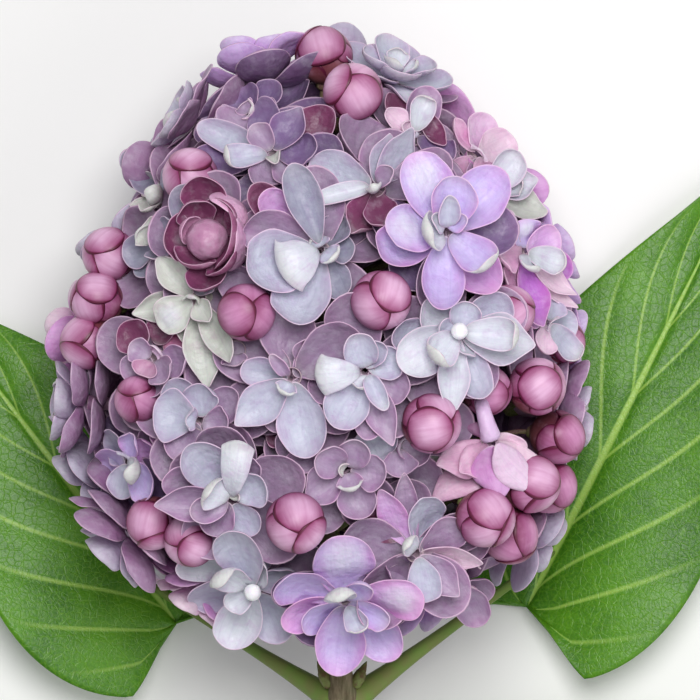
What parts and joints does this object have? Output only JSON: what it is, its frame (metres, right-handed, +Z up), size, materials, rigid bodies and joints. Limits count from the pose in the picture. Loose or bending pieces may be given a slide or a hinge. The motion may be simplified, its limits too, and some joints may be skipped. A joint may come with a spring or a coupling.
{
  "type": "cut lilac stem",
  "caption": "Cut stem of double-flowered lilac lying on a surface: an egg-shaped panicle of blooms and buds on a woody twig with heart-shaped leaves.",
  "frame": {"origin": "on the surface that the stem lies on, under the middle of its bounding box", "axes": "+Y along the stem towards the tip of the panicle, +Z up from the surface"},
  "size_m": [0.1594, 0.2298, 0.0794],
  "materials": {
    "stem": "matte",
    "petals": "matte",
    "leaves": "satin"
  },
  "bodies": {
    "root": {"stem": "stem", "spray_01": "petals", "spray_02": "petals", "spray_03": "petals", "spray_04": "petals", "spray_05": "petals", "spray_06": "petals", "spray_07": "petals", "spray_08": "petals", "spray_09": "petals", "spray_10": "petals", "spray_11": "petals", "spray_12": "petals", "spray_13": "petals", "spray_14": "petals", "spray_15": "petals", "spray_16": "petals", "spray_17": "petals", "leaf_1": "leaves", "leaf_2": "leaves", "leaf_3": "leaves", "leaf_4": "leaves"}
  },
  "joints": []
}
